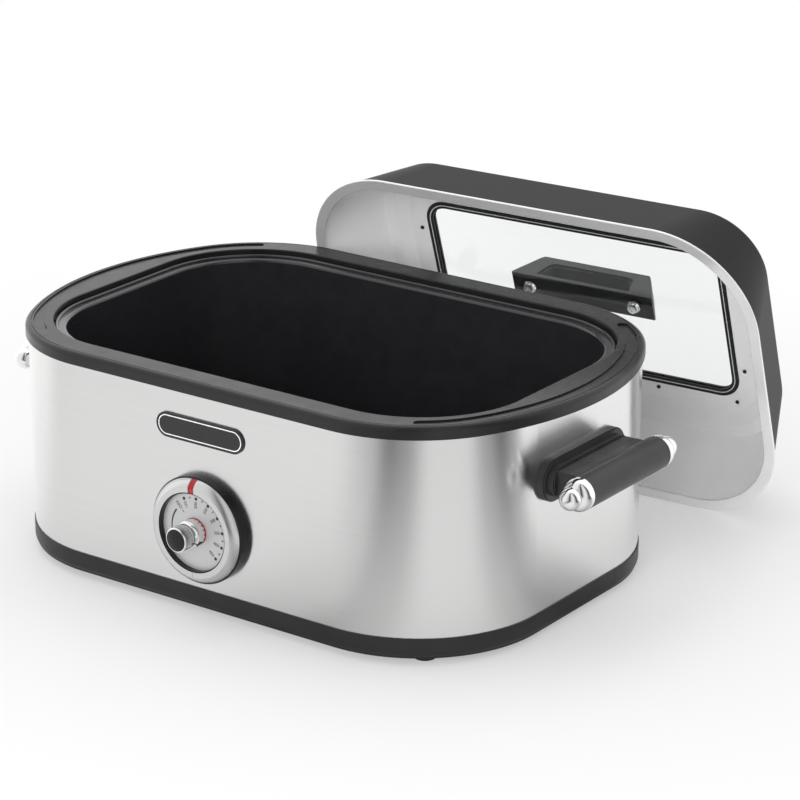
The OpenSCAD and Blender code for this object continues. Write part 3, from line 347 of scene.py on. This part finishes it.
# Sizes of the printed scale. Reaches run from the dial's centre, and turns are in degrees
# from due right, seen from the front.
mark_t = 0.00012
first_turn, turn_step = 113, 26
first_heat, heat_step, heats = 150, 50, 7
dot_reach, dot_r = 0.0284, 0.0014
half_reach, half_r = 0.0286, 0.00075
half_turns = (100, 74, 22, -4, -30)
warm_turn, warm_from, warm_to, warm_w = 48, 0.0268, 0.0298, 0.0007
number_reach, number_size = 0.0259, 0.0041
off_turn, off_reach, off_size = 129, 0.0296, 0.0046
off_from, off_to, off_w = 0.018, 0.0205, 0.0006
arc_r, arc_from, arc_to = 0.025, 142, 188
hollow_r, hollow_shift = 0.0253, 0.0017


def alone(*pieces):
    """Select these pieces and nothing else."""
    bpy.ops.object.select_all(action="DESELECT")
    for piece in pieces:
        piece.select_set(True)
    bpy.context.view_layer.objects.active = pieces[0]


def settled(piece):
    """Put a piece's place into its mesh."""
    alone(piece)
    bpy.ops.object.transform_apply(location=True, rotation=True, scale=True)
    return piece


def eased(piece, width, segments=1):
    """Round off the edges of the piece that's active."""
    edge = piece.modifiers.new("edge", "BEVEL")
    edge.width, edge.segments = width, segments
    bpy.ops.object.modifier_apply(modifier="edge")


def trimmed(place, away):
    """In edit mode, cut off all that lies past a plane, and close the cut."""
    bpy.ops.mesh.select_all(action="SELECT")
    bpy.ops.mesh.bisect(plane_co=place, plane_no=away, use_fill=True, clear_outer=True)


def on_dial(reach, turn):
    """A place on the scale, drawn lying flat."""
    return reach * cos(radians(turn)), reach * sin(radians(turn)), 0


def dot(reach, turn, radius):
    """A printed dot with a softly rounded edge."""
    bpy.ops.object.select_all(action="DESELECT")
    bpy.ops.mesh.primitive_cylinder_add(vertices=28, radius=radius, depth=mark_t,
                                        location=on_dial(reach, turn))
    piece = bpy.context.object
    eased(piece, mark_t / 4)
    return settled(piece)


def dash(near, far, turn, width):
    """A printed stroke along a radius."""
    bpy.ops.object.select_all(action="DESELECT")
    bpy.ops.mesh.primitive_cube_add(size=1, location=on_dial((near + far) / 2, turn),
                                    rotation=(0, 0, radians(turn)))
    piece = bpy.context.object
    piece.scale = (far - near, width, mark_t)
    eased(settled(piece), mark_t / 4)
    return piece


def printed(words, size, reach, turn):
    """Printed letters that run outward along a radius and end at a reach."""
    bpy.ops.object.select_all(action="DESELECT")
    bpy.ops.object.text_add(rotation=(0, 0, radians(turn)), location=on_dial(reach, turn))
    piece = bpy.context.object
    piece.data.body, piece.data.size, piece.data.extrude = words, size, mark_t / 2
    piece.data.align_x, piece.data.align_y = "RIGHT", "CENTER"
    bpy.ops.object.convert(target="MESH")
    return settled(bpy.context.object)


def tapered_arc():
    """The arc towards off: a disc less a wider one set off its centre, cut at both ends."""
    bpy.ops.object.select_all(action="DESELECT")
    bpy.ops.mesh.primitive_cylinder_add(vertices=160, radius=hollow_r, depth=0.002,
                                        location=on_dial(-hollow_shift, arc_from))
    hollow = bpy.context.object
    bpy.ops.object.select_all(action="DESELECT")
    bpy.ops.mesh.primitive_cylinder_add(vertices=160, radius=arc_r, depth=mark_t)
    arc = bpy.context.object
    cut = arc.modifiers.new("cut", "BOOLEAN")
    cut.operation, cut.object, cut.solver = "DIFFERENCE", hollow, "EXACT"
    alone(arc)
    bpy.ops.object.modifier_apply(modifier="cut")
    bpy.ops.object.mode_set(mode="EDIT")
    trimmed((0, 0, 0), (sin(radians(arc_from)), -cos(radians(arc_from)), 0))
    trimmed((0, 0, 0), (-sin(radians(arc_to)), cos(radians(arc_to)), 0))
    bpy.ops.object.mode_set(mode="OBJECT")
    bpy.data.objects.remove(hollow)
    return arc


marks = []
for step in range(heats):
    turn = first_turn - turn_step * step
    marks.append(dot(dot_reach, turn, dot_r))
    marks.append(printed(str(first_heat + heat_step * step), number_size, number_reach, turn))
for turn in half_turns:
    marks.append(dot(half_reach, turn, half_r))
marks.append(dash(warm_from, warm_to, warm_turn, warm_w))
marks.append(printed("OFF", off_size, off_reach, off_turn))
marks.append(dash(off_from, off_to, off_turn, off_w))
marks.append(tapered_arc())
alone(*marks)
bpy.ops.object.join()
dial_marks = bpy.context.object
dial_marks.name = "dial_marks"
dial_marks.rotation_euler = (radians(90), 0, 0)
dial_marks.location = (0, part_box("dial_plate")[0].y - 0.4 * mark_t, dial_centre.z)
settled(dial_marks)
dial_marks.data.materials.append(mark_black)
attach(dial_marks, "base")

lens_red, shader, place = finish("lens_red", (0.4, 0.01, 0.014), rough=0.12)
shader.inputs["Transmission Weight"].default_value = 0.3
tinted(lens_red, shader, cloudy(lens_red, place, 400), (0.22, 0.006, 0.008), (0.58, 0.02, 0.025))
dress("indicator_lens", lens_red)

# ---- Knob ------------------------------------------------------------------------------------
# A chrome-plated knob, fluted at its foot and drawn in at the waist, with a black cap and a
# red ring under it, is pressed on the switch's shaft. Its pointer is painted in black along
# the side, from the barrel to an arrowhead at the foot.

pointer_turn = radians(-38)
line_half = 0.00055                              # half the width of the pointer's line
line_root = 0.004                                # how near the shaft its paint is cut off
line_front, line_back = 0.0013, 0.0062           # short of the knob's front and back
paint_lift = 0.00018                             # proud of the chrome
head_r, head_t, head_edge = 0.0036, 0.0014, 0.0002
head_shape = (0.95, 1.15, 1)
head_reach, head_back = 0.0111, 0.0042

chrome, shader, place = finish("chrome_plate", (0.88, 0.88, 0.89), rough=0.08, metal=1.0)
spread(chrome, cloudy(chrome, place, 120), 0.06, 0.11, shader.inputs["Roughness"])
knob_chrome, shader, place = finish("knob_chrome", (0.88, 0.88, 0.89), rough=0.17, metal=1.0)
spread(knob_chrome, cloudy(knob_chrome, place, 120), 0.15, 0.2, shader.inputs["Roughness"])
dress("knob", knob_chrome)
dress("knob_cap", trim_black)
red_plastic = moulded("red_plastic", (0.3, 0.008, 0.01), (0.38, 0.012, 0.014), rough=0.3)
dress("knob_foot_ring", red_plastic)
dress("knob_shaft", zinc)


def slice_of(node, name, planes):
    """A copy of a piece of the frame, cut down to what lies behind each of some planes."""
    piece = bpy.data.objects.new(name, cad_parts[node].data.copy())
    bpy.context.scene.collection.objects.link(piece)
    alone(piece)
    bpy.ops.object.mode_set(mode="EDIT")
    bpy.ops.mesh.select_all(action="SELECT")
    bpy.ops.mesh.remove_doubles(threshold=0.000002)
    for place, away in planes:
        trimmed(place, away)
    bpy.ops.mesh.select_all(action="SELECT")
    bpy.ops.mesh.normals_make_consistent(inside=False)
    bpy.ops.object.mode_set(mode="OBJECT")
    return piece


knob_low, knob_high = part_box("knob")
along = Vector((cos(pointer_turn), 0, sin(pointer_turn)))
across = Vector((-sin(pointer_turn), 0, cos(pointer_turn)))
pointer = slice_of("knob", "knob_pointer", [
    (dial_centre + line_half * across, across),
    (dial_centre - line_half * across, -across),
    (dial_centre + line_root * along, -along),
    ((0, knob_low.y + line_front, dial_centre.z), (0, -1, 0)),
    ((0, knob_high.y - line_back, dial_centre.z), (0, 1, 0))])
pointer.location = paint_lift * along
settled(pointer)
bpy.ops.object.select_all(action="DESELECT")
bpy.ops.mesh.primitive_cone_add(vertices=3, radius1=head_r, radius2=head_r, depth=head_t)
arrow = bpy.context.object
arrow.scale = head_shape
bpy.ops.object.transform_apply(location=False, rotation=False, scale=True)
eased(arrow, head_edge, segments=2)
head_at = dial_centre + head_reach * along
arrow.matrix_world = Matrix((
    (-across.x, 0, along.x, head_at.x),
    (-across.y, 1, along.y, knob_high.y - head_back),
    (-across.z, 0, along.z, head_at.z),
    (0, 0, 0, 1)))
settled(arrow)
alone(pointer, arrow)
bpy.ops.object.join()
pointer.data.materials.clear()
pointer.data.materials.append(mark_black)
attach(pointer, "knob")

# ---- Badge -----------------------------------------------------------------------------------
# A small charcoal plate with round ends, pinned through the steel above the dial. It's left
# bare but for a light line printed just inside its edge.

line_in, line_w = 0.00205, 0.0009                # from the plate's edge, and its width
line_t, line_sink = 0.00036, 0.0004

badge_charcoal = moulded("badge_charcoal", (0.019, 0.019, 0.02), (0.025, 0.025, 0.026),
                         rough=0.35)
dress("badge", badge_charcoal)


def framed(width, depth):
    """In edit mode, turn a flat face into a frame of a width, and raise it by a depth."""
    bpy.ops.mesh.select_all(action="SELECT")
    bpy.ops.mesh.inset(thickness=width, depth=0)
    bpy.ops.mesh.delete(type="FACE")
    bpy.ops.mesh.select_all(action="SELECT")
    bpy.ops.mesh.extrude_region_move(TRANSFORM_OT_translate={"value": (0, 0, depth)})
    bpy.ops.mesh.select_all(action="SELECT")
    bpy.ops.mesh.normals_make_consistent(inside=False)
    bpy.ops.object.mode_set(mode="OBJECT")


badge_low, badge_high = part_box("badge")
badge_half_w = (badge_high.x - badge_low.x) / 2
badge_half_h = (badge_high.z - badge_low.z) / 2
bpy.ops.object.select_all(action="DESELECT")
bpy.ops.mesh.primitive_circle_add(vertices=64, radius=badge_half_h - line_in, fill_type="NGON")
badge_line = bpy.context.object
badge_line.name = "badge_line"
bpy.ops.object.mode_set(mode="EDIT")
shape = bmesh.from_edit_mesh(badge_line.data)
for side in (-1, 1):
    bpy.ops.mesh.select_all(action="DESELECT")
    for corner in shape.verts:
        corner.select = corner.co.x * side > 0.0001
    bpy.ops.transform.translate(value=(side * (badge_half_w - badge_half_h), 0, 0))
framed(line_w, line_t)
badge_line.rotation_euler = (radians(90), 0, 0)
badge_line.location = (0, badge_low.y + line_sink, (badge_low.z + badge_high.z) / 2)
settled(badge_line)
line_white = moulded("line_white", (0.78, 0.78, 0.78), (0.84, 0.84, 0.84), rough=0.4)
badge_line.data.materials.append(line_white)
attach(badge_line, "base")

# ---- Side handles ----------------------------------------------------------------------------
# Each end has a black moulded grip on a stepped flange, screwed on from inside, with a
# chrome cap and ball at each end of the grip.

handle_black = moulded("handle_black", (0.022, 0.022, 0.023), (0.03, 0.03, 0.031),
                       rough=0.4, gloss=0.4)
for side in ("right", "left"):
    dress("handle_" + side, handle_black)
    for end in ("front", "back"):
        dress("end_cap_%s_%s" % (side, end), chrome)

# ---- Cord gland ------------------------------------------------------------------------------
# The bushing low at the back that the mains cord would pass, moulded in the tray's black
# plastic and pushed through the steel.

dress("cord_gland", band_black)

# ---- Roasting pan ----------------------------------------------------------------------------
# The drop-in pan is pressed steel, dark enamelled inside and out. It hangs loose in the
# mouth by a beaded flange that lies on the well's.

enamel, shader, place = finish("dark_enamel", (0.018, 0.018, 0.02), rough=0.22)
shader.inputs["Coat Weight"].default_value = 0.4
shader.inputs["Coat Roughness"].default_value = 0.06
tinted(enamel, shader, cloudy(enamel, place, 90), (0.015, 0.015, 0.017), (0.019, 0.019, 0.021))
spread(enamel, cloudy(enamel, place, 40), 0.18, 0.26, shader.inputs["Roughness"])
dress("roasting_pan", enamel)

# ---- Lid -------------------------------------------------------------------------------------
# The domed lid is a black enamelled shell over a bright steel liner, held together by a
# rolled rim band. It stands behind the body on its rim, open side to the front.

shell_black, shader, place = finish("shell_black", (0.012, 0.012, 0.013), rough=0.45,
                                    gloss=0.05)
tinted(shell_black, shader, cloudy(shell_black, place, 300),
       (0.009, 0.009, 0.01), (0.014, 0.014, 0.015))
grained(shell_black, shader, cloudy(shell_black, place, 500), depth=0.00004, strength=0.3)
dress("lid_shell", shell_black)
liner_bright = brushed("liner_bright", (0.94, 0.94, 0.94), rough=0.38, scale=(30, 30, 30),
                       metal=0.27)
dress("lid_liner", liner_bright)
band_satin = brushed("band_satin", (0.86, 0.86, 0.86), rough=0.25, scale=(40, 40, 40),
                     metal=0.5)
dress("lid_rim", band_satin)

# ---- Lid window ------------------------------------------------------------------------------
# A pane of clear tempered glass in a black channel gasket, riveted into the lid's flat. A
# thin bright bead runs round the gasket's inner face, proud of the rubber.

lid_yaw, lid_lean = radians(2.9), radians(-71.3)
window_half = (0.146, 0.0725)
window_corner = 0.016
bead_out, bead_w, bead_t = 0.0034, 0.0007, 0.0004
bead_drop = 0.00345                              # from the pane's middle to the bead's foot

pane, shader, place = finish("window_pane", (0.93, 0.95, 0.95), rough=0.02)
shader.inputs["Transmission Weight"].default_value = 1.0
shader.inputs["IOR"].default_value = 1.45
dress("window_glass", pane)
gasket = moulded("gasket_black", (0.007, 0.007, 0.007), (0.011, 0.011, 0.011), rough=0.4)
dress("window_gasket", gasket)
dress("window_rivets", trim_black)

lid_turn = Matrix.Rotation(lid_yaw, 3, "Z") @ Matrix.Rotation(lid_lean, 3, "X")
pane_low, pane_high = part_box("window_glass")
bpy.ops.object.select_all(action="DESELECT")
bpy.ops.mesh.primitive_plane_add(size=2)
bead = bpy.context.object
bead.name = "window_bead"
bead.scale = (window_half[0] + bead_out, window_half[1] + bead_out, 1)
bpy.ops.object.transform_apply(location=False, rotation=False, scale=True)
bpy.ops.object.mode_set(mode="EDIT")
bpy.ops.mesh.select_all(action="SELECT")
bpy.ops.mesh.bevel(affect="VERTICES", offset_type="OFFSET",
                   offset=window_corner + bead_out, segments=12)
framed(bead_w, -bead_t)
bead.matrix_world = Matrix.Translation((pane_low + pane_high) / 2
                                       - bead_drop * lid_turn.col[2]) @ lid_turn.to_4x4()
settled(bead)
bead.data.materials.append(band_satin)
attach(bead, "lid")

# ---- Lid handle ------------------------------------------------------------------------------
# A black moulded bar with a finger opening, drawn onto the glass by two chrome screws from
# inside, each on its own washer.

dress("lid_handle", handle_black)
dress("lid_washers", chrome)
dress("lid_screws", chrome)
